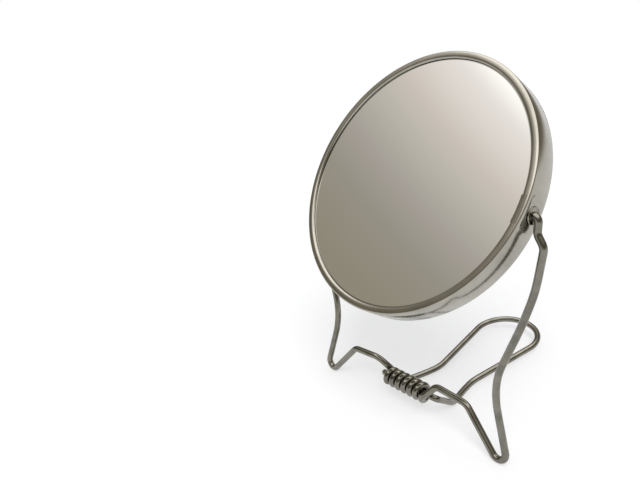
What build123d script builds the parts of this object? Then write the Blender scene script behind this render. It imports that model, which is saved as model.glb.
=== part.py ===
from build123d import *
from math import acos, atan2, cos, degrees, inf, pi, radians, sin, sqrt
import os

# Standing mirror: a round mirror in a rolled steel rim, hung between the arms of a fork
# that is bent from one wire. The middle of that wire is wound into a close coil. A second
# wire, bent to a loop, is hinged in the bore of the coil. It is the rear leg on a table
# and the hanger or handle when it is swung down in line with the fork.
# Millimetres. X runs along the mirror's pivots, the front faces -Y, the table is Z = 0.

# Wire, the same gauge for fork and loop
wire = 4.0
foot_bend = 4.4
pin_bend = 2.8

# Mirror and its rim
rim_radius = 75.5
rim_depth = 15.5
rim_sheet = 0.6
bead_radius = 2.1
bead_sweep = 160.0
seam_gap = 0.4
lap_length = 13.5
lap_sheet = 0.35
lap_start, lap_sweep = 75.0, 84.0
pivot_drop = 4.5
mirror_tilt = 36.0

# Glass and what keeps the two glasses apart
glass = 2.0
glass_side_play = 0.3
glass_seat_play = 0.06
glass_bevel = 0.4
magnifier_sag = 2.6
card = 0.6
spacer_width = 7.0
spacer_wall_play = 1.7
layer_play = 0.05

# Plate over the rim's seam, and the eyelets that the fork's ends turn in
plate_sheet = 0.4
plate_length = 18.0
plate_corner = 3.0
plate_margin = 0.4
eyelet_wall = 0.7
eyelet_flange = 4.6
eyelet_flange_sheet = 0.45
eyelet_curl = 3.6
eyelet_curl_sheet = 0.5
pin_play = 0.1
seat_play = 0.03
side_play = 0.45
spacer_hole_play = 0.4

# Fork, drawn flat: from corner to corner, out from the middle and down from the pivots
pin_inside_rim = 7.5
run_down = 8.3
shoulder_out, shoulder_down = 4.15, 5.7
upper_in, upper_down = 2.5, 22.5
middle_in, middle_down = 5.5, 19.0
waist_in, waist_down = 12.5, 33.3
ankle_out, ankle_down = 1.5, 14.5
foot_out, foot_down = 13.5, 44.0
bar_corner_in, bar_corner_up = 32.3, 35.5
bar_up = 1.4
entry_out = 23.5
entry_in, entry_down, entry_front = 2.53, 3.02, 0.69
entry_bend = 5.0
run_bend, shoulder_bend = 6.0, 6.0
upper_bend, middle_bend = 80.0, 200.0
waist_bend, ankle_bend = 40.0, 40.0
bar_bend = 6.8

# Coil in the middle of the fork's bar
coil_passes = 7
coil_pitch = 4.8
coil_below_bar = 9.3
coil_back = 2.0
coil_start = 45.0
coil_quarters = 26
ramp = 10.0
hinge_play = 0.1

# Loop: out from the middle, along it from corner to corner, and off its plane
leg_play = 0.5
pin_reach = 13.4
drop_out, drop_along, drop_off = 18.7, 19.5, -12.3
heel_out, heel_along, heel_off = 15.0, 15.0, -11.0
neck_out, neck_along, neck_off = 13.2, 10.0, -10.0
wide_out, wide_along, wide_off = 22.5, 58.1, 0.0
end_out, end_along, end_off = 10.5, 14.6, 3.0
drop_bend, heel_bend, neck_bend = 12.0, 30.0, 30.0
wide_bend, end_bend = 20.0, 21.0
loop_swing = 92.8

# Sizes that follow
half_wire = wire / 2
half_depth = rim_depth / 2
rim_inside = rim_radius - rim_sheet
plate_outside = rim_radius + seat_play + plate_sheet
flange_face = plate_outside + seat_play
run_out = flange_face + eyelet_flange_sheet + side_play + half_wire
pivot_bore = half_wire + pin_play
eyelet_radius = pivot_bore + eyelet_wall
bead_centre = (rim_radius - bead_radius, half_depth - bead_radius)
lip_under = bead_centre[1] + (bead_radius - rim_sheet) * sin(radians(bead_sweep))
glass_face = lip_under - glass_seat_play
glass_radius = rim_inside - glass_side_play
card_face = glass_face - glass - layer_play
spacer_front = card_face - card - layer_play
spacer_outside = rim_inside - spacer_wall_play
spacer_inside = spacer_outside - spacer_width
coil_radius = wire + hinge_play
coil_first = coil_pitch * (coil_passes - 1) / 2
coil_end = coil_start + 90 * coil_quarters
bar_down = (
    run_down + shoulder_down + upper_down + middle_down + waist_down
    + ankle_down + foot_down - bar_corner_up - bar_up
)
coil_down = bar_down + coil_below_bar
leg_out = abs(coil_first - coil_pitch * coil_end / 360) + wire + leg_play


def fork_half(side):
    """Corners and bends of one arm, foot and half bar; side is 1 right, -1 left."""
    steps = [
        (0, run_down),
        (shoulder_out, shoulder_down),
        (-upper_in, upper_down),
        (-middle_in, middle_down),
        (-waist_in, waist_down),
        (ankle_out, ankle_down),
        (foot_out, foot_down),
        (-bar_corner_in, -bar_corner_up),
    ]
    corners = [(rim_radius - pin_inside_rim, 0), (run_out, 0)]
    for out, down in steps:
        corners.append((corners[-1][0] + out, corners[-1][1] + down))
    bends = [
        pin_bend, run_bend, shoulder_bend, upper_bend, middle_bend,
        waist_bend, ankle_bend, foot_bend, bar_bend,
    ]
    if side > 0:
        corners.append((entry_out, bar_down))
        bends.append(entry_bend)
    else:
        corners.append((abs(coil_point(coil_end).X) + ramp, bar_down))
    points = [(side * out, -down, 0) for out, down in corners]
    if side > 0:
        points.append((entry_out - entry_in, -bar_down - entry_down, entry_front))
    return points, bends


def coil_point(angle):
    """Point of the coil's centre line in the fork's frame; 0 is a pass at the front."""
    turn = radians(angle)
    return Vector(
        coil_first - coil_pitch * angle / 360,
        -coil_down - coil_radius * sin(turn),
        -coil_back + coil_radius * cos(turn),
    )


def coil_direction(angle):
    """Direction of the wire at that point."""
    turn = radians(angle)
    return Vector(
        -coil_pitch / (2 * pi), -coil_radius * cos(turn), -coil_radius * sin(turn)
    ).normalized()


def arc_middle(start, direction, end):
    """Middle of the arc that leaves start in the given direction and reaches end."""
    chord = end - start
    along = chord.normalized()
    slant = acos(max(-1.0, min(1.0, direction.dot(along))))
    outward = (direction - along * direction.dot(along)).normalized()
    return (start + end) * 0.5 + outward * (chord.length / 2 * sin(slant) / (1 + cos(slant)))


bend_radii = []


def biarc(start, start_direction, end, end_direction):
    """Two arcs, tangent to each other and to both ends."""
    chord = end - start
    spread = 2 * (1 - start_direction.dot(end_direction))
    pull = 2 * chord.dot(start_direction + end_direction)
    reach = (sqrt(pull * pull + 4 * spread * chord.dot(chord)) - pull) / (2 * spread)
    first = start + start_direction * reach
    last = end - end_direction * reach
    joint = (first + last) * 0.5
    joint_direction = (last - first).normalized()
    for a, direction, b in ((start, start_direction, joint), (joint, joint_direction, end)):
        arc = ThreePointArc(tuple(a), tuple(arc_middle(a, direction, b)), tuple(b))
        bend_radii.append(arc.radius)


def loop_half(side):
    """Corners and bends of half the loop in its own frame, from the pin to the end."""
    steps = [
        (drop_out, drop_along, drop_off),
        (heel_out, heel_along, heel_off),
        (neck_out, neck_along, neck_off),
        (wide_out, wide_along, wide_off),
        (end_out, end_along, end_off),
    ]
    corners = [(leg_out - pin_reach, 0, 0), (leg_out, 0, 0)]
    for out, along, off in steps:
        corners.append((out, corners[-1][1] + along, off))
    return [(side * out, along, off) for out, along, off in corners]


loop_corners = loop_half(1) + loop_half(-1)[::-1]
loop_bends = [pin_bend, drop_bend, heel_bend, neck_bend, wide_bend, end_bend]
loop_bends += loop_bends[::-1]

# How far the fork leans back: the table touches the feet and the lowest of the loop
foot_corners = [Vector(corner) for corner in fork_half(1)[0][7:10]]
toward_ankle = (foot_corners[0] - foot_corners[1]).normalized()
toward_bar = (foot_corners[2] - foot_corners[1]).normalized()
half_angle = radians(toward_ankle.get_angle(toward_bar) / 2)
foot_centre = foot_corners[1] + (toward_ankle + toward_bar).normalized() * (
    foot_bend / sin(half_angle)
)
foot_tip = foot_centre.Y - foot_bend
swing = radians(loop_swing)
with BuildLine() as loop_outline:
    FilletPolyline(loop_corners, radius=loop_bends)
fork_lean = 90.0
loop_reach = 0.0
samples = 400
for step in range(samples + 1):
    spot = loop_outline.line @ (step / samples)
    height = -coil_down - cos(swing) * spot.Y + sin(swing) * spot.Z
    behind = coil_back + sin(swing) * spot.Y + cos(swing) * spot.Z
    if behind > coil_back + wire:
        fork_lean = min(fork_lean, degrees(atan2(height - foot_tip, behind)))
lean = radians(fork_lean)
pivot_height = half_wire - foot_tip * cos(lean)

# The part stands with the middle of its box over the origin
tilt = radians(mirror_tilt)
front_reach = (
    (bead_centre[0] - pivot_drop) * sin(tilt) + bead_centre[1] * cos(tilt) + bead_radius
)
for step in range(samples + 1):
    spot = loop_outline.line @ (step / samples)
    height = -coil_down - cos(swing) * spot.Y + sin(swing) * spot.Z
    behind = coil_back + sin(swing) * spot.Y + cos(swing) * spot.Z
    loop_reach = max(loop_reach, behind * cos(lean) + height * sin(lean) + half_wire)
pivot_y = (front_reach - loop_reach) / 2

# Frames: the fork's at the pivots, the mirror's at its centre, the loop's at the coil
pivot = Vector(0, pivot_y, pivot_height)
fork = Plane(pivot, x_dir=(1, 0, 0), z_dir=(0, -cos(lean), sin(lean)))
mirror_up = Vector(0, sin(tilt), cos(tilt))
mirror_plane = Plane(
    pivot + mirror_up * pivot_drop, x_dir=(1, 0, 0), z_dir=(0, -cos(tilt), sin(tilt))
)
coil_centre = fork.from_local_coords(Vector(0, -coil_down, -coil_back))
loop_plane = Plane(
    coil_centre, x_dir=(1, 0, 0), z_dir=(0, cos(swing - lean), sin(swing - lean))
)
mirror_axis = Axis(mirror_plane.origin, mirror_plane.z_dir)
pivot_axis = Axis(pivot, (1, 0, 0))


def mirror_section(angle=0.0):
    """Plane for sections of the round pieces: X outwards, Y along the mirror's axis."""
    turn = radians(angle)
    outward = mirror_plane.x_dir * cos(turn) + mirror_plane.y_dir * sin(turn)
    return Plane(mirror_plane.origin, x_dir=outward, z_dir=outward.cross(mirror_plane.z_dir))


def eyelet_section(side):
    """Plane for sections of an eyelet: X out along the pivots, Y away from them."""
    return Plane(pivot, x_dir=(side, 0, 0), z_dir=(0, -side, 0))


os.makedirs("parts", exist_ok=True)

# Rim: sheet rolled to a channel, both edges curled over the glass, bent to a ring
with BuildPart() as rim_band:
    with BuildSketch(mirror_section()):
        with BuildLine():
            outer = CenterArc(bead_centre, bead_radius, 0, bead_sweep)
            inner = CenterArc(bead_centre, bead_radius - rim_sheet, 0, bead_sweep)
            Line(outer @ 1, inner @ 1)
            Line(outer @ 0, (rim_radius, 0))
            Line(inner @ 0, (rim_inside, 0))
            mirror(about=Plane.XZ)
        make_face()
    revolve(axis=mirror_axis)
    # One end of the strip laps over the other's lip at the right pivot
    lap_turn = degrees(lap_length / rim_radius)
    with BuildSketch(mirror_section(-degrees(pivot_drop / rim_radius) - lap_turn / 2)):
        with BuildLine():
            lap_over = CenterArc(bead_centre, bead_radius + lap_sheet, lap_start, lap_sweep)
            lap_under = CenterArc(
                bead_centre, bead_radius - rim_sheet / 2, lap_start, lap_sweep
            )
            Line(lap_over @ 0, lap_under @ 0)
            Line(lap_over @ 1, lap_under @ 1)
        make_face()
    revolve(axis=mirror_axis, revolution_arc=lap_turn)
    # The seam, where the ends of the strip meet behind the right eyelet
    with BuildSketch(mirror_plane):
        with Locations((rim_radius, -pivot_drop)):
            Rectangle(2 * eyelet_flange, seam_gap)
    extrude(amount=rim_depth, both=True, mode=Mode.SUBTRACT)
    with BuildSketch(Plane(pivot, x_dir=(0, 1, 0), z_dir=(1, 0, 0))):
        Circle(eyelet_radius + seat_play)
    extrude(amount=2 * rim_radius, both=True, mode=Mode.SUBTRACT)
rim_band.part.label = "rim_band"
export_step(rim_band.part, "parts/rim_band.step")

# Plate over the seam, held by the right eyelet
plate_turn = degrees(plate_length / rim_radius)
seam_turn = -degrees(pivot_drop / rim_radius)
with BuildPart() as seam_plate:
    with BuildSketch(mirror_section(seam_turn - plate_turn / 2)):
        with Locations((rim_radius + seat_play + plate_sheet / 2, 0)):
            Rectangle(plate_sheet, 2 * (bead_centre[1] - plate_margin))
    revolve(axis=mirror_axis, revolution_arc=plate_turn)
    fillet(
        seam_plate.edges().filter_by(lambda e: abs(e.length - plate_sheet) < plate_sheet / 100),
        plate_corner,
    )
    with BuildSketch(Plane(pivot, x_dir=(0, 1, 0), z_dir=(1, 0, 0))):
        Circle(eyelet_radius + seat_play)
    extrude(amount=2 * rim_radius, mode=Mode.SUBTRACT)
seam_plate.part.label = "seam_plate"
export_step(seam_plate.part, "parts/seam_plate.step")


def eyelet(side, seat):
    """Flared tube that lines a pivot hole, clinched over the rim from inside."""
    curl_face = sqrt(rim_inside ** 2 - (pivot_drop + eyelet_curl) ** 2) - seat_play
    curl_end = curl_face - eyelet_curl_sheet
    flange_end = seat + eyelet_flange_sheet
    with BuildPart() as piece:
        with BuildSketch(eyelet_section(side)):
            with BuildLine():
                Polyline(
                    (flange_end, pivot_bore),
                    (curl_end, pivot_bore),
                    (curl_end, eyelet_curl),
                    (curl_face, eyelet_curl),
                    (curl_face, eyelet_radius),
                    (seat, eyelet_radius),
                    (seat, eyelet_flange),
                )
                TangentArc(
                    (flange_end, eyelet_flange - eyelet_flange_sheet),
                    (seat, eyelet_flange),
                    tangent=(0, 1),
                )
                Line((flange_end, eyelet_flange - eyelet_flange_sheet), (flange_end, pivot_bore))
            make_face()
        revolve(axis=pivot_axis)
    return piece.part


right_eyelet = eyelet(1, flange_face)
right_eyelet.label = "right_eyelet"
export_step(right_eyelet, "parts/right_eyelet.step")
left_eyelet = eyelet(-1, rim_radius + seat_play)
left_eyelet.label = "left_eyelet"
export_step(left_eyelet, "parts/left_eyelet.step")

# Plain glass at the front, its edge bevelled
with BuildPart() as front_glass:
    with BuildSketch(mirror_plane.offset(glass_face - glass)):
        Circle(glass_radius)
    extrude(amount=glass)
    chamfer(front_glass.edges().filter_by(GeomType.CIRCLE), glass_bevel)
front_glass.part.label = "front_glass"
export_step(front_glass.part, "parts/front_glass.step")

# Card behind the plain glass
with BuildPart() as backing_card:
    with BuildSketch(mirror_plane.offset(card_face - card)):
        Circle(spacer_outside)
    extrude(amount=card)
backing_card.part.label = "backing_card"
export_step(backing_card.part, "parts/backing_card.step")

# Magnifying glass at the rear, bent to a shallow dish, hollow side out
with BuildPart() as rear_glass:
    with BuildSketch(mirror_section()):
        with BuildLine():
            hollow = TangentArc(
                (0, magnifier_sag - glass_face), (glass_radius, -glass_face), tangent=(1, 0)
            )
            swelling = TangentArc(
                (0, magnifier_sag + glass - glass_face),
                (glass_radius, glass - glass_face),
                tangent=(1, 0),
            )
            Line(hollow @ 0, swelling @ 0)
            Line(hollow @ 1, swelling @ 1)
        make_face()
    revolve(axis=mirror_axis)
rear_glass.part.label = "rear_glass"
export_step(rear_glass.part, "parts/rear_glass.step")

# Ring that keeps the glasses apart, with a hole for each end of the fork
dish_radius = (glass_radius ** 2 + magnifier_sag ** 2) / (2 * magnifier_sag)
dish_at_ring = sqrt(dish_radius ** 2 - spacer_inside ** 2) - (dish_radius - magnifier_sag)
spacer_back = dish_at_ring + glass - glass_face + layer_play
with BuildPart() as spacer_ring:
    with BuildSketch(mirror_plane.offset(spacer_back)):
        Circle(spacer_outside)
        Circle(spacer_inside, mode=Mode.SUBTRACT)
    extrude(amount=spacer_front - spacer_back)
    with BuildSketch(Plane(pivot, x_dir=(0, 1, 0), z_dir=(1, 0, 0))):
        Circle(half_wire + spacer_hole_play)
    extrude(amount=rim_radius, both=True, mode=Mode.SUBTRACT)
spacer_ring.part.label = "spacer_ring"
export_step(spacer_ring.part, "parts/spacer_ring.step")

# Fork: both arms, feet, bar and coil are one wire, swept in one run
right_corners, right_bends = fork_half(1)
left_corners, left_bends = fork_half(-1)
with BuildPart() as fork_wire:
    with BuildLine(fork) as fork_path:
        FilletPolyline(right_corners, radius=right_bends)
        entry = Vector(right_corners[-1])
        entry_direction = (entry - Vector(right_corners[-2])).normalized()
        biarc(entry, entry_direction, coil_point(coil_start), coil_direction(coil_start))
        for quarter in range(coil_quarters):
            before = coil_start + 90 * quarter
            after = before + 90
            biarc(
                coil_point(before), coil_direction(before),
                coil_point(after), coil_direction(after),
            )
        left_bar = Vector(left_corners[-1])
        bar_out = (Vector(left_corners[-2]) - left_bar).normalized()
        biarc(coil_point(coil_end), coil_direction(coil_end), left_bar, bar_out)
        FilletPolyline(left_corners[::-1], radius=left_bends[::-1])
    with BuildSketch(Plane(fork_path.line @ 0, z_dir=fork_path.line % 0)):
        Circle(half_wire)
    sweep()
fork_wire.part.label = "fork_wire"
export_step(fork_wire.part, "parts/fork_wire.step")

# Loop: its two ends are the hinge pins in the coil's bore
with BuildPart() as loop_wire:
    with BuildLine(loop_plane) as loop_path:
        FilletPolyline(loop_corners, radius=loop_bends)
    with BuildSketch(Plane(loop_path.line @ 0, z_dir=loop_path.line % 0)):
        Circle(half_wire)
    sweep()
loop_wire.part.label = "loop_wire"
export_step(loop_wire.part, "parts/loop_wire.step")


def gap_to_itself(line, thickness, spacing=0.75):
    """Least gap of a tube to itself, between points further apart along it than a bend."""
    count = int(line.length / spacing)
    spots = [line @ (step / count) for step in range(count + 1)]
    skip = int(pi * thickness / spacing)
    least = inf
    for index, spot in enumerate(spots):
        for other in spots[index + skip:]:
            least = min(least, (spot - other).length)
    return least - thickness


print("fork wire: least gap to itself", round(gap_to_itself(fork_path.wire(), wire), 3))
print("loop wire: least gap to itself", round(gap_to_itself(loop_path.wire(), wire), 3))
print("least bend radius in the coil and its ends", round(min(bend_radii), 3))
print("fork leans back by", round(fork_lean, 3), "degrees")
print("pivot at", [round(value, 3) for value in pivot])
print("coil at", [round(value, 3) for value in coil_centre])
print("mirror centre at", [round(value, 3) for value in mirror_plane.origin])
print("loop lies along", [round(value, 4) for value in loop_plane.y_dir])
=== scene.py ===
"""Standing mirror: chrome, glass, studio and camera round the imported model."""

from __future__ import annotations

import logging
import math
from dataclasses import dataclass, field
from enum import Enum

import bpy
from mathutils import Matrix, Vector


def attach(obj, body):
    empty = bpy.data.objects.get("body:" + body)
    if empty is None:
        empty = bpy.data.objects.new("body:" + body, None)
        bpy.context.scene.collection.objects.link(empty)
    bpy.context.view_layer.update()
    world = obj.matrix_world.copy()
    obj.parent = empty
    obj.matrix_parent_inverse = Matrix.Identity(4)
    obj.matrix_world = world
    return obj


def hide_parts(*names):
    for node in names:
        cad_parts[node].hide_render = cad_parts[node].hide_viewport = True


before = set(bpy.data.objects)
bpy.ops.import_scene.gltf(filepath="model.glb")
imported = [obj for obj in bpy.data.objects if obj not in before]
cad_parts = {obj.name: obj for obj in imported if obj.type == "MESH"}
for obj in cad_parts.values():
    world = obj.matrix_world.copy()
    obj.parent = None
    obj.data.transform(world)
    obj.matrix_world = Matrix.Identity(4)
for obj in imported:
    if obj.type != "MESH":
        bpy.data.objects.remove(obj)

logging.basicConfig(level=logging.INFO, format="%(name)s: %(message)s")
log = logging.getLogger("mirror")

Colour = tuple[float, float, float]
Circle = tuple[float, float]

MM = 0.001
BLACK: Colour = (0.0, 0.0, 0.0)
WHITE: Colour = (1.0, 1.0, 1.0)


class Body(Enum):
    """The bodies of the part, one for each sub-assembly."""

    STAND = "stand"
    MIRROR = "mirror"
    LOOP = "loop"


class Grain(Enum):
    """How the drawing or rolling lines of a metal piece run."""

    RING = "ring"
    FREE = "free"


class Nodes:
    """A small helper that lays out one node tree."""

    def __init__(self, tree: bpy.types.NodeTree) -> None:
        """Empties the tree.

        Args:
            tree: The node tree of a material or of the world.
        """
        self.tree = tree
        self.tree.nodes.clear()
        self.column = 0

    def add(self, kind: str, **settings: object) -> bpy.types.Node:
        """Adds a node.

        Args:
            kind: The node's type name without the ShaderNode in front.
            settings: Attributes such as operation; names of sockets go through feed.

        Returns:
            The new node.
        """
        node = self.tree.nodes.new("ShaderNode" + kind)
        node.location = (200 * self.column, 0)
        self.column += 1
        for name, value in settings.items():
            setattr(node, name, value)
        return node

    def feed(self, node: bpy.types.Node, **sockets: object) -> bpy.types.Node:
        """Sets or links input sockets.

        Args:
            node: The node whose inputs are set.
            sockets: A number, a tuple or an output socket for each input. An input goes by
                its name, with _ for a space, or by its number, as i0.

        Returns:
            The same node.
        """
        for name, value in sockets.items():
            numbered = name[0] == "i" and name[1:].isdigit()
            socket = node.inputs[int(name[1:]) if numbered else name.replace("_", " ")]
            if isinstance(value, bpy.types.NodeSocket):
                self.tree.links.new(value, socket)
            else:
                socket.default_value = value
        return node

    def math(self, operation: str, *values: object) -> bpy.types.NodeSocket:
        """One arithmetic step.

        Args:
            operation: The Math node's operation.
            values: Its inputs in order, each a number or an output socket.

        Returns:
            The result's socket.
        """
        node = self.add("Math", operation=operation)
        self.feed(node, **{f"i{index}": value for index, value in enumerate(values)})
        return node.outputs[0]

    def radius(self, parts: bpy.types.Node) -> bpy.types.NodeSocket:
        """Distance from the Z axis.

        Args:
            parts: A Separate XYZ node fed with the place.

        Returns:
            The distance's socket.
        """
        across = self.math("MULTIPLY", parts.outputs["X"], parts.outputs["X"])
        along = self.math("MULTIPLY", parts.outputs["Y"], parts.outputs["Y"])
        return self.math("SQRT", self.math("ADD", across, along))

    def noise(self, place: bpy.types.NodeSocket, **sockets: float) -> bpy.types.NodeSocket:
        """A cloudy pattern.

        Args:
            place: The coordinates it is read at.
            sockets: The noise's own inputs, such as Scale.

        Returns:
            The pattern's value.
        """
        return self.feed(self.add("TexNoise"), Vector=place, **sockets).outputs["Fac"]

    def bump(self, height: bpy.types.NodeSocket, **sockets: object) -> bpy.types.NodeSocket:
        """Fine relief that is only shaded.

        Args:
            height: The relief's height, from 0 to 1.
            sockets: Strength, Distance and, where one relief lies on another, Normal.

        Returns:
            The normal's socket.
        """
        return self.feed(self.add("Bump"), Height=height, **sockets).outputs["Normal"]

    def ramp(
        self, value: bpy.types.NodeSocket, stops: list[tuple[float, Colour]]
    ) -> bpy.types.NodeSocket:
        """A colour ramp.

        Args:
            value: The socket that drives the ramp.
            stops: Pairs of position and colour.

        Returns:
            The ramp's colour socket.
        """
        node = self.add("ValToRGB")
        elements = node.color_ramp.elements
        while len(elements) < len(stops):
            elements.new(1.0)
        for element, (position, colour) in zip(elements, stops):
            element.position = position
            element.color = (*colour, 1.0)
        self.feed(node, Fac=value)
        return node.outputs["Color"]

    def spread(
        self, value: bpy.types.NodeSocket, low: float, high: float
    ) -> bpy.types.NodeSocket:
        """Maps a 0 to 1 value to a range.

        Args:
            value: The socket to map.
            low: The result at 0.
            high: The result at 1.

        Returns:
            The mapped value's socket.
        """
        node = self.add("MapRange")
        self.feed(node, Value=value, To_Min=low, To_Max=high)
        return node.outputs["Result"]

    def ease(
        self,
        value: bpy.types.NodeSocket,
        start: float,
        end: float,
        high: float = 1.0,
        low: float = 0.0,
    ) -> bpy.types.NodeSocket:
        """Goes softly from one result to another between two values.

        Args:
            value: The socket to map.
            start: The value up to which the result is low.
            end: The value from which the result is high.
            high: The result past the end.
            low: The result before the start.

        Returns:
            The eased value's socket.
        """
        node = self.add("MapRange", interpolation_type="SMOOTHSTEP")
        self.feed(node, Value=value, From_Min=start, From_Max=end, To_Min=low, To_Max=high)
        return node.outputs["Result"]


def blank_material(name: str) -> tuple[bpy.types.Material, Nodes]:
    """Makes a material with an empty node tree.

    Args:
        name: The material's name.

    Returns:
        The material and the helper that lays out its nodes.
    """
    material = bpy.data.materials.new(name)
    material.use_nodes = True
    return material, Nodes(material.node_tree)


@dataclass(frozen=True)
class Seat:
    """Where the mirror sits: its centre and how far it leans back."""

    centre: tuple[float, float, float] = (0.0, -25.917 * MM, 138.535 * MM)
    tilt: float = math.radians(36.0)

    @property
    def turn(self) -> float:
        """How far a piece that lies flat is turned about X to stand in its place."""
        return math.pi / 2 - self.tilt

    def matrix(self) -> Matrix:
        """Place of a piece that was made flat, with the front glass facing up.

        Returns:
            The matrix that leans the piece back.
        """
        return Matrix.Translation(Vector(self.centre)) @ Matrix.Rotation(self.turn, 4, "X")

    def place(self, nodes: Nodes) -> bpy.types.NodeSocket:
        """Object coordinates turned so that Z is the mirror's axis, from its centre.

        Args:
            nodes: The tree being laid out.

        Returns:
            The vector socket.
        """
        mapping = nodes.add("Mapping", vector_type="TEXTURE")
        nodes.feed(
            mapping,
            Vector=nodes.add("TexCoord").outputs["Object"],
            Location=self.centre,
            Rotation=(self.turn, 0.0, 0.0),
        )
        return mapping.outputs[0]


@dataclass(frozen=True)
class ChromeFinish:
    """Nickel or chrome plating on steel, with its fine lines, haze and handling marks.

    Attributes:
        name: The material's name.
        tint: Colour where the plating is clear.
        dull: Colour where it is hazy.
        smooth: Roughness where it is clear.
        rough: Roughness where it is hazy.
        grain: How the fine lines run.
        line_scale: How fine the lines are.
        line_height: How deep they are.
        wave_scale: How fine the haze and the waviness are.
        wave_height: How deep the waviness is.
        line_share: The lines' share in the roughness; the haze has the rest.
        line_stretch: How much the lines are drawn out along a ring.
        mark_fineness: How much finer the handling marks are than the haze.
        mark_rough: Roughness that a mark adds.
        seat: Where the mirror sits, for the pieces that ring it.
    """

    name: str
    tint: Colour
    dull: Colour
    smooth: float
    rough: float
    grain: Grain
    line_scale: float
    line_height: float
    wave_scale: float
    wave_height: float
    line_share: float = 0.35
    line_stretch: float = 0.02
    mark_fineness: float = 14.0
    mark_rough: float = 0.12
    seat: Seat = field(default_factory=Seat)

    def make(self) -> bpy.types.Material:
        """Builds the material.

        Returns:
            The material with its nodes.
        """
        material, nodes = blank_material(self.name)
        place = self.place(nodes)
        haze = nodes.noise(place, Scale=self.wave_scale, Detail=4.0, Roughness=0.6)
        lines = nodes.noise(
            self.stretched(nodes, place), Scale=self.line_scale, Detail=3.0, Roughness=0.7
        )
        specks = nodes.noise(place, Scale=self.wave_scale * self.mark_fineness, Detail=2.0)
        marks = nodes.ramp(specks, [(0.62, BLACK), (0.75, WHITE)])
        haze_part = nodes.math("MULTIPLY", haze, 1.0 - self.line_share)
        mix = nodes.math("MULTIPLY_ADD", lines, self.line_share, haze_part)
        plating = nodes.spread(mix, self.smooth, self.rough)
        fine = nodes.bump(lines, Strength=1.0, Distance=self.line_height)
        shader = nodes.feed(
            nodes.add("BsdfPrincipled"),
            Base_Color=nodes.ramp(haze, [(0.32, self.dull), (0.62, self.tint)]),
            Metallic=1.0,
            Roughness=nodes.math("MULTIPLY_ADD", marks, self.mark_rough, plating),
            Normal=nodes.bump(haze, Strength=1.0, Distance=self.wave_height, Normal=fine),
        )
        nodes.feed(nodes.add("OutputMaterial"), Surface=shader.outputs[0])
        return material

    def place(self, nodes: Nodes) -> bpy.types.NodeSocket:
        """Object coordinates, for a ring piece turned so that Z is its axis.

        Args:
            nodes: The tree being laid out.

        Returns:
            The vector socket.
        """
        if self.grain is Grain.FREE:
            return nodes.add("TexCoord").outputs["Object"]
        return self.seat.place(nodes)

    def stretched(self, nodes: Nodes, place: bpy.types.NodeSocket) -> bpy.types.NodeSocket:
        """Coordinates in which noise becomes lines along a ring piece.

        Args:
            nodes: The tree being laid out.
            place: The piece's own coordinates.

        Returns:
            The vector socket.
        """
        if self.grain is Grain.FREE:
            return place
        parts = nodes.feed(nodes.add("SeparateXYZ"), Vector=place)
        joined = nodes.feed(
            nodes.add("CombineXYZ"),
            X=nodes.math("MULTIPLY", parts.outputs["X"], self.line_stretch),
            Y=nodes.radius(parts),
            Z=parts.outputs["Z"],
        )
        return joined.outputs[0]


@dataclass(frozen=True)
class MirrorGlassFinish:
    """Silvered glass: clean and flat, with faint wipe marks and painted shade at its edge, under
    the lip.

    Attributes:
        name: The material's name.
        silver: Colour of the mirror.
        edge: Colour of the painted shade on its rim, where the lip overhangs the glass.
        clear_radius: Radius at which the painted shade is full.
        edge_width: Width over which the painted shade comes in.
        clean_rough: Roughness of the clean glass.
        smear_rough: Roughness that a wipe mark adds.
        dust_rough: Roughness that dust adds.
        seat: Where the mirror sits.
    """

    name: str
    silver: Colour
    # Painted shade: the lip's shadow on the glass, put into the glass's colour.
    edge: Colour = (0.09, 0.083, 0.07)
    clear_radius: float = 71.5 * MM
    edge_width: float = 1.1 * MM
    clean_rough: float = 0.012
    smear_rough: float = 0.05
    dust_rough: float = 0.1
    seat: Seat = field(default_factory=Seat)

    def make(self) -> bpy.types.Material:
        """Builds the material.

        Returns:
            The material with its nodes.
        """
        material, nodes = blank_material(self.name)
        place = self.seat.place(nodes)
        parts = nodes.feed(nodes.add("SeparateXYZ"), Vector=place)
        clear_end = self.clear_radius - self.edge_width
        # Painted shade: the glass turns dark towards its rim, where the lip shades it.
        rim = nodes.ease(nodes.radius(parts), clear_end, self.clear_radius)
        wipe = nodes.noise(place, Scale=28.0, Detail=5.0, Distortion=0.8)
        dust = nodes.noise(place, Scale=1600.0, Detail=1.0)
        smear = nodes.ramp(wipe, [(0.45, BLACK), (0.8, WHITE)])
        specks = nodes.ramp(dust, [(0.74, BLACK), (0.8, WHITE)])
        dusty = nodes.math("MULTIPLY_ADD", specks, self.dust_rough, self.clean_rough)
        colour = nodes.feed(
            nodes.add("Mix", data_type="RGBA"),
            Factor=rim,
            i6=(*self.silver, 1.0),
            i7=(*self.edge, 1.0),
        )
        shader = nodes.feed(
            nodes.add("BsdfPrincipled"),
            Base_Color=colour.outputs[2],
            Metallic=1.0,
            Roughness=nodes.math("MULTIPLY_ADD", smear, self.smear_rough, dusty),
        )
        nodes.feed(nodes.add("OutputMaterial"), Surface=shader.outputs[0])
        return material


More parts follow.
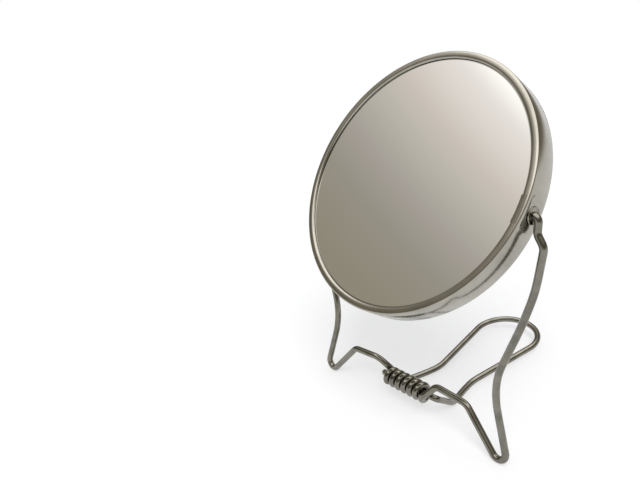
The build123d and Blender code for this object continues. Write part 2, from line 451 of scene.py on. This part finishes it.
@dataclass(frozen=True)
class CardFinish:
    """Grey-brown board between the glasses.

    Attributes:
        name: The material's name.
        pale: Colour of the pale fibres.
        dark: Colour of the dark fibres.
        fibre_height: How far the fibres stand out.
    """

    name: str
    pale: Colour
    dark: Colour
    fibre_height: float = 0.05 * MM

    def make(self) -> bpy.types.Material:
        """Builds the material.

        Returns:
            The material with its nodes.
        """
        material, nodes = blank_material(self.name)
        place = nodes.add("TexCoord").outputs["Object"]
        fibre = nodes.noise(place, Scale=900.0, Detail=6.0, Roughness=0.7)
        shader = nodes.feed(
            nodes.add("BsdfPrincipled"),
            Base_Color=nodes.ramp(fibre, [(0.3, self.dark), (0.7, self.pale)]),
            Roughness=nodes.spread(fibre, 0.75, 0.95),
            Normal=nodes.bump(fibre, Strength=0.6, Distance=self.fibre_height),
        )
        nodes.feed(nodes.add("OutputMaterial"), Surface=shader.outputs[0])
        return material


Finish = ChromeFinish | MirrorGlassFinish | CardFinish

WIRE_CHROME = ChromeFinish(
    "wire_chrome",
    tint=(0.24, 0.23, 0.197),
    dull=(0.15, 0.145, 0.122),
    smooth=0.06,
    rough=0.20,
    grain=Grain.FREE,
    line_scale=1500.0,
    line_height=0.004 * MM,
    wave_scale=120.0,
    wave_height=0.05 * MM,
)
RIM_CHROME = ChromeFinish(
    "rim_chrome",
    tint=(0.40, 0.385, 0.34),
    dull=(0.31, 0.30, 0.26),
    smooth=0.08,
    rough=0.22,
    grain=Grain.RING,
    line_scale=2600.0,
    line_height=0.003 * MM,
    wave_scale=45.0,
    wave_height=0.06 * MM,
)
EYELET_CHROME = ChromeFinish(
    "eyelet_chrome",
    tint=(0.30, 0.285, 0.24),
    dull=(0.16, 0.15, 0.125),
    smooth=0.10,
    rough=0.28,
    grain=Grain.FREE,
    line_scale=2500.0,
    line_height=0.006 * MM,
    wave_scale=300.0,
    wave_height=0.03 * MM,
)
# Both glasses get the painted shade ring at their edge, under the lip.
PLAIN_GLASS = MirrorGlassFinish("front_mirror", silver=(0.90, 0.905, 0.89))
DISHED_GLASS = MirrorGlassFinish("rear_mirror", silver=(0.89, 0.90, 0.885))
BOARD = CardFinish("grey_board", pale=(0.50, 0.45, 0.37), dark=(0.34, 0.30, 0.24))

# What metal and glass see of the room, from the horizon (0) up to the ceiling (1).
ROOM_TONES: list[tuple[float, Colour]] = [
    (0.00, (0.95, 0.95, 0.94)),
    (0.05, (0.60, 0.58, 0.54)),
    (0.12, (0.26, 0.235, 0.185)),
    (0.42, (0.30, 0.27, 0.21)),
    (0.50, (0.335, 0.31, 0.26)),
    (0.55, (0.41, 0.375, 0.34)),
    (0.60, (0.53, 0.50, 0.44)),
    (0.635, (0.64, 0.58, 0.53)),
    (0.675, (0.80, 0.74, 0.69)),
    (0.71, (0.91, 0.87, 0.84)),
    (1.00, (0.95, 0.95, 0.94)),
]


class Bench:
    """Keeps each finish's material, so that pieces of one finish share it."""

    def __init__(self) -> None:
        """Starts with no material."""
        self.made: dict[str, bpy.types.Material] = {}

    def material(self, finish: Finish) -> bpy.types.Material:
        """The material of a finish.

        Args:
            finish: The finish to look up or to make.

        Returns:
            Its material.
        """
        if finish.name not in self.made:
            self.made[finish.name] = finish.make()
        return self.made[finish.name]


@dataclass
class Turned:
    """Round pieces of the mirror, drawn flat from circles and leant back when done.

    Attributes:
        segments: Sides of each circle.
        merge: Distance under which points become one.
        smooth_angle: Edges up to this angle are shaded smooth.
        seat: Where the mirror sits.
    """

    segments: int = 288
    merge: float = 0.002 * MM
    smooth_angle: float = math.radians(50.0)
    seat: Seat = field(default_factory=Seat)

    def drawn(self, name: str, outline: list[Circle], closed: bool) -> bpy.types.Object:
        """Draws circles one from the other round the section.

        Args:
            name: The piece's name.
            outline: Radius and height of each circle, in millimetres.
            closed: Whether the section closes on itself; its two end circles are filled if not.

        Returns:
            The piece, flat, in edit mode.
        """
        bpy.ops.object.select_all(action="DESELECT")
        radius, height = outline[0]
        bpy.ops.mesh.primitive_circle_add(
            vertices=self.segments, radius=radius * MM, location=(0.0, 0.0, height * MM)
        )
        piece = bpy.context.active_object
        piece.name = name
        bpy.ops.object.transform_apply(location=True, rotation=True, scale=True)
        bpy.ops.object.mode_set(mode="EDIT")
        bpy.ops.mesh.select_all(action="SELECT")
        for wide, high in outline[1:] + (outline[:1] if closed else []):
            step = (0.0, 0.0, (high - height) * MM)
            bpy.ops.mesh.extrude_edges_move(TRANSFORM_OT_translate={"value": step})
            grow = wide / radius
            bpy.ops.transform.resize(value=(grow, grow, 1.0), center_override=(0.0, 0.0, 0.0))
            radius, height = wide, high
        bpy.ops.mesh.select_all(action="SELECT")
        bpy.ops.mesh.remove_doubles(threshold=self.merge)
        if not closed:
            bpy.ops.mesh.fill_holes(sides=0)
            bpy.ops.mesh.select_all(action="SELECT")
        bpy.ops.mesh.normals_make_consistent(inside=False)
        return piece

    def settle(self, piece: bpy.types.Object, node: str, material: bpy.types.Material) -> None:
        """Smooths a finished piece, leans it back and lets it ride on the mirror.

        Args:
            piece: The flat piece, in object mode.
            node: Not used.
            material: Its finish.
        """
        bpy.ops.object.select_all(action="DESELECT")
        piece.select_set(True)
        bpy.context.view_layer.objects.active = piece
        bpy.ops.object.shade_smooth_by_angle(angle=self.smooth_angle)
        piece.matrix_world = self.seat.matrix()
        bpy.ops.object.transform_apply(location=True, rotation=True, scale=True)
        piece.data.materials.append(material)
        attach(piece, Body.MIRROR.value)
        log.info("%s: %d faces", piece.name, len(piece.data.polygons))


@dataclass
class RimBand(Turned):
    """Rolled rim: a flat wall, both edges turned in over the glass, and the ends' lap.

    Lengths are in millimetres, and each outline gives radius and height of its circles.

    Attributes:
        wall_radius: The rim's outer radius.
        lip: Outside of the front edge, from its inner end to the wall.
        lip_inside: Inside of the front edge, from the wall back to its inner end.
        lap: Section of the one end's lip that laps over the other's.
        lap_half_turn: Half the angle that the lap takes up.
        pivot_drop: How far the pivots lie below the mirror's centre.
        hole_radius: Radius of the pivot holes.
        hole_sides: Sides of each hole.
        drill_reach: The drill's length in wall radii, past both walls.
    """

    wall_radius: float = 75.5
    lip: tuple[Circle, ...] = (
        (71.45, 6.22), (71.48, 6.90), (71.70, 7.40), (72.20, 7.66), (73.20, 7.74),
        (74.40, 7.75), (74.95, 7.68), (75.35, 7.42), (75.50, 7.00),
    )
    lip_inside: tuple[Circle, ...] = (
        (74.90, 6.60), (74.80, 7.00), (74.30, 7.25), (73.20, 7.24), (72.40, 7.15), (72.00, 6.22),
    )
    lap: tuple[Circle, ...] = (
        (70.40, 6.14), (70.45, 6.50), (71.10, 7.00), (71.70, 7.64), (72.20, 7.86), (74.00, 7.93),
        (74.10, 7.80), (72.20, 7.73), (71.62, 7.44), (71.30, 6.90), (70.80, 6.14),
    )
    lap_half_turn: float = math.radians(5.6)
    pivot_drop: float = 4.5
    hole_radius: float = 2.83
    hole_sides: int = 48
    drill_reach: float = 2.4

    @staticmethod
    def rear(outline: tuple[Circle, ...]) -> list[Circle]:
        """The same edge at the rear of the rim.

        Args:
            outline: An outline of the front edge.

        Returns:
            Its circles mirrored to the rear, in reverse order.
        """
        return [(radius, -height) for radius, height in reversed(outline)]

    def drill(self, piece: bpy.types.Object) -> None:
        """Cuts the two pivot holes.

        Args:
            piece: The flat ring, in object mode.
        """
        bpy.ops.object.select_all(action="DESELECT")
        bpy.ops.mesh.primitive_cylinder_add(
            vertices=self.hole_sides,
            radius=self.hole_radius * MM,
            depth=self.drill_reach * self.wall_radius * MM,
            location=(0.0, -self.pivot_drop * MM, 0.0),
            rotation=(0.0, math.pi / 2, 0.0),
        )
        drill = bpy.context.active_object
        bpy.context.view_layer.objects.active = piece
        cut = piece.modifiers.new("pivot_holes", "BOOLEAN")
        cut.operation = "DIFFERENCE"
        cut.solver = "EXACT"
        cut.object = drill
        bpy.ops.object.select_all(action="DESELECT")
        piece.select_set(True)
        bpy.ops.object.modifier_apply(modifier=cut.name)
        bpy.data.objects.remove(drill, do_unlink=True)

    def trim(self, middle: float) -> None:
        """Cuts the ring in edit mode to a short stretch.

        Args:
            middle: The angle of the stretch's middle.
        """
        ends = ((middle - self.lap_half_turn, True), (middle + self.lap_half_turn, False))
        for angle, keep_ahead in ends:
            bpy.ops.mesh.select_all(action="SELECT")
            bpy.ops.mesh.bisect(
                plane_co=(0.0, 0.0, 0.0),
                plane_no=(-math.sin(angle), math.cos(angle), 0.0),
                use_fill=True,
                clear_inner=keep_ahead,
                clear_outer=not keep_ahead,
            )
        bpy.ops.mesh.select_all(action="SELECT")
        bpy.ops.mesh.normals_make_consistent(inside=False)

    def build(self, bench: Bench) -> None:
        """Makes the ring and the lap of its ends.

        Args:
            bench: Where the finishes are kept.
        """
        chrome = bench.material(RIM_CHROME)
        outline = [
            *self.lip, *self.rear(self.lip), *self.rear(self.lip_inside), *self.lip_inside
        ]
        ring = self.drawn("rolled_rim", outline, closed=True)
        bpy.ops.object.mode_set(mode="OBJECT")
        self.drill(ring)
        self.settle(ring, "rim_band", chrome)
        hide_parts("rim_band")
        lap = self.drawn("rim_lap", list(self.lap), closed=True)
        self.trim(-math.asin(self.pivot_drop / self.wall_radius))
        bpy.ops.object.mode_set(mode="OBJECT")
        self.settle(lap, "rim_band", chrome)


@dataclass
class DishedGlass(Turned):
    """Magnifying glass at the rear, evenly curved so that its reflection runs clean.

    Lengths are in millimetres.

    Attributes:
        radius: The glass's outer radius.
        bevel: Width of the bevel at its edge.
        glass: Its thickness.
        face: How far its rear edge lies behind the rim's middle.
        sag: Depth of the hollow.
        middle: Radius of the small flat in the middle.
        rings: Circles from the middle to the bevel.
    """

    radius: float = 74.6
    bevel: float = 0.3
    glass: float = 2.0
    face: float = 6.103
    sag: float = 2.6
    middle: float = 0.5
    rings: int = 24

    def depth(self, radius: float) -> float:
        """How deep the hollow is at a distance from the middle.

        Args:
            radius: That distance, in millimetres.

        Returns:
            The depth, in millimetres.
        """
        sphere = (self.radius ** 2 + self.sag ** 2) / (2 * self.sag)
        return math.sqrt(sphere ** 2 - radius ** 2) - (sphere - self.sag)

    def build(self, bench: Bench) -> None:
        """Makes the glass.

        Args:
            bench: Where the finishes are kept.
        """
        reach = self.radius - self.bevel - self.middle
        radii = [self.middle + reach * step / self.rings for step in range(self.rings + 1)]
        hollow = [(radius, self.depth(radius) - self.face) for radius in radii]
        swelling = [(radius, height + self.glass) for radius, height in hollow]
        low, high = self.bevel - self.face, self.glass - self.bevel - self.face
        outline = [*hollow, (self.radius, low), (self.radius, high), *reversed(swelling)]
        piece = self.drawn("dished_glass", outline, closed=False)
        bpy.ops.object.mode_set(mode="OBJECT")
        self.settle(piece, "rear_glass", bench.material(DISHED_GLASS))
        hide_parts("rear_glass")


@dataclass
class DressedNodes:
    """CAD nodes of one sub-assembly, which keep their shape and get shading and a finish.

    Attributes:
        body: The body that the nodes belong to.
        finishes: The finish of each node.
        merge: Distance under which the loose triangles' corners are joined.
        crease: Edges past this angle stay sharp.
    """

    body: Body
    finishes: dict[str, Finish]
    merge: float = 0.0005 * MM
    crease: float = math.radians(28.0)

    def dress(self, bench: Bench) -> None:
        """Gives each node its material and joins its loose triangles for shading.

        Args:
            bench: Where the finishes are kept.
        """
        for node, finish in self.finishes.items():
            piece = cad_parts[node]
            piece.data.materials.clear()
            piece.data.materials.append(bench.material(finish))
            for polygon in piece.data.polygons:
                polygon.use_smooth = True
                polygon.material_index = 0
            weld = piece.modifiers.new("weld", "WELD")
            weld.merge_threshold = self.merge
            split = piece.modifiers.new("crease", "EDGE_SPLIT")
            split.split_angle = self.crease
            log.info("%s: %s dressed in %s", self.body.value, node, finish.name)


@dataclass
class Studio:
    """Pale floor, one soft light, surroundings and the camera of the photograph.

    Attributes:
        floor_size: Length of the floor's sides.
        floor_tone: Its colour.
        floor_mottle: The darker patches' share of that colour.
        floor_glow: Light added to what camera, metal and glass see of it.
        floor_near: Distance up to which it shows shadows.
        floor_far: Distance from which it is plain white.
        focal: The camera's focal length, in pixels of the photograph.
        photo_width: The photograph's width, in pixels.
        sensor: Width of the camera's sensor, in millimetres.
        nearest: Nearest distance that the camera shows.
        farthest: Farthest distance that it shows.
        eye: Where the camera stands.
        right: The direction of the picture's right.
        down: The direction of its bottom.
        ahead: The direction of the camera's view.
        room_light: Strength of the soft light from all round.
        ceiling_start: Height, as a direction's Z, from which the ceiling grows brighter.
        ceiling_full: Height from which it is brightest.
        ceiling_glow: How bright it then looks in metal and glass.
    """

    floor_size: float = 12.0
    floor_tone: Colour = (0.50, 0.50, 0.498)
    floor_mottle: float = 0.985
    floor_glow: float = 0.56
    floor_near: float = 0.45
    floor_far: float = 1.6
    focal: float = 632.496
    photo_width: float = 640.0
    sensor: float = 36.0
    nearest: float = 0.01
    farthest: float = 50.0
    eye: tuple[float, float, float] = (0.236104, -0.270130, 0.240129)
    right: tuple[float, float, float] = (0.625452, 0.771506, -0.116528)
    down: tuple[float, float, float] = (0.210393, -0.310573, -0.926978)
    ahead: tuple[float, float, float] = (-0.751361, 0.555266, -0.356572)
    room_light: float = 0.5
    ceiling_start: float = 0.69
    ceiling_full: float = 0.79
    ceiling_glow: float = 2.4

    def camera(self) -> None:
        """Puts the camera where the photograph was taken from."""
        data = bpy.data.cameras.new("camera")
        data.sensor_width = self.sensor
        data.lens = self.focal / self.photo_width * self.sensor
        data.clip_start = self.nearest
        data.clip_end = self.farthest
        camera = bpy.data.objects.new("camera", data)
        bpy.context.scene.collection.objects.link(camera)
        up = [-part for part in self.down]
        back = [-part for part in self.ahead]
        turn = Matrix((self.right, up, back)).transposed()
        camera.matrix_world = Matrix.Translation(Vector(self.eye)) @ turn.to_4x4()
        bpy.context.scene.camera = camera

    def sight(self, nodes: Nodes) -> bpy.types.NodeSocket:
        """What shows the background: the camera's rays, and those of metal and glass.

        Args:
            nodes: The tree being laid out.

        Returns:
            A socket that is 1 for those rays and 0 for the rest.
        """
        path = nodes.add("LightPath").outputs
        bright = nodes.math("MAXIMUM", path["Is Camera Ray"], path["Is Glossy Ray"])
        return nodes.math("MAXIMUM", bright, path["Is Transmission Ray"])

    def floor(self) -> None:
        """Lays the floor: white to the eye, with the object's shadow, and evenly white far off."""
        bpy.ops.object.select_all(action="DESELECT")
        bpy.ops.mesh.primitive_plane_add(size=self.floor_size, location=(0.0, 0.0, 0.0))
        plane = bpy.context.active_object
        plane.name = "floor"
        material, nodes = blank_material("floor")
        sight = self.sight(nodes)
        place = nodes.add("TexCoord").outputs["Object"]
        grain = nodes.noise(place, Scale=60.0)
        dark = tuple(self.floor_mottle * value for value in self.floor_tone)
        colour = nodes.ramp(grain, [(0.3, dark), (0.7, self.floor_tone)])
        paper = nodes.feed(nodes.add("BsdfDiffuse"), Color=colour)
        glow = nodes.feed(
            nodes.add("Emission"),
            Color=(*WHITE, 1.0),
            Strength=nodes.math("MULTIPLY", sight, self.floor_glow),
        )
        near = nodes.feed(nodes.add("AddShader"), i0=paper.outputs[0], i1=glow.outputs[0])
        white = nodes.feed(nodes.add("Emission"), Color=(*WHITE, 1.0), Strength=1.0)
        radius = nodes.feed(nodes.add("VectorMath", operation="LENGTH"), i0=place)
        away = nodes.ease(radius.outputs["Value"], self.floor_near, self.floor_far)
        shade = nodes.feed(
            nodes.add("MixShader"),
            Fac=nodes.math("MULTIPLY", away, sight),
            i1=near.outputs[0],
            i2=white.outputs[0],
        )
        nodes.feed(nodes.add("OutputMaterial"), Surface=shade.outputs[0])
        plane.data.materials.append(material)

    def sun(self, aim: tuple[float, float, float], strength: float, width: float) -> None:
        """Hangs the main light, soft and even over the floor.

        Args:
            aim: The direction in which it shines.
            strength: Its strength.
            width: How wide it looks, in degrees.
        """
        data = bpy.data.lights.new("main_light", "SUN")
        data.energy = strength
        data.angle = math.radians(width)
        lamp = bpy.data.objects.new("main_light", data)
        bpy.context.scene.collection.objects.link(lamp)
        lamp.rotation_mode = "QUATERNION"
        lamp.rotation_quaternion = Vector(aim).to_track_quat("-Z", "Y")
        lamp.visible_glossy = False

    def surroundings(self) -> None:
        """The room: white behind the object, and tones from the horizon up for reflections."""
        world = bpy.data.worlds.new("room")
        bpy.context.scene.world = world
        world.use_nodes = True
        nodes = Nodes(world.node_tree)
        direction = nodes.add("TexCoord").outputs["Generated"]
        height = nodes.feed(nodes.add("SeparateXYZ"), Vector=direction).outputs["Z"]
        ceiling = nodes.ease(
            height, self.ceiling_start, self.ceiling_full, high=self.ceiling_glow, low=1.0
        )
        glossy = nodes.feed(
            nodes.add("Background"),
            Color=nodes.ramp(nodes.spread(height, 0.0, 1.0), ROOM_TONES),
            Strength=ceiling,
        )
        soft = nodes.feed(
            nodes.add("Background"), Color=(0.95, 0.96, 0.98, 1.0), Strength=self.room_light
        )
        white = nodes.feed(nodes.add("Background"), Color=(*WHITE, 1.0), Strength=1.0)
        path = nodes.add("LightPath").outputs
        seen = nodes.feed(
            nodes.add("MixShader"),
            Fac=path["Is Glossy Ray"],
            i1=soft.outputs[0],
            i2=glossy.outputs[0],
        )
        whole = nodes.feed(
            nodes.add("MixShader"),
            Fac=path["Is Camera Ray"],
            i1=seen.outputs[0],
            i2=white.outputs[0],
        )
        nodes.feed(nodes.add("OutputWorld"), Surface=whole.outputs[0])

    def build(self) -> None:
        """Sets up everything that isn't the object."""
        self.camera()
        self.floor()
        self.sun(aim=(-0.45, 0.35, -0.85), strength=1.7, width=35.0)
        self.surroundings()
        bpy.context.scene.view_settings.view_transform = "Standard"
        log.info("studio ready")


SUB_ASSEMBLIES = (
    DressedNodes(Body.STAND, {"fork_wire": WIRE_CHROME}),
    DressedNodes(Body.LOOP, {"loop_wire": WIRE_CHROME}),
    DressedNodes(
        Body.MIRROR,
        {
            "rim_band": RIM_CHROME,
            "seam_plate": RIM_CHROME,
            "right_eyelet": EYELET_CHROME,
            "left_eyelet": EYELET_CHROME,
            "front_glass": PLAIN_GLASS,
            "rear_glass": DISHED_GLASS,
            "backing_card": BOARD,
            "spacer_ring": BOARD,
        },
    ),
)


def main() -> None:
    """Builds the studio and dresses the object, sub-assembly by sub-assembly."""
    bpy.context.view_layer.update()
    Studio().build()
    bench = Bench()
    RimBand().build(bench)
    DishedGlass().build(bench)
    for sub_assembly in SUB_ASSEMBLIES:
        sub_assembly.dress(bench)


if __name__ == "__main__":
    main()
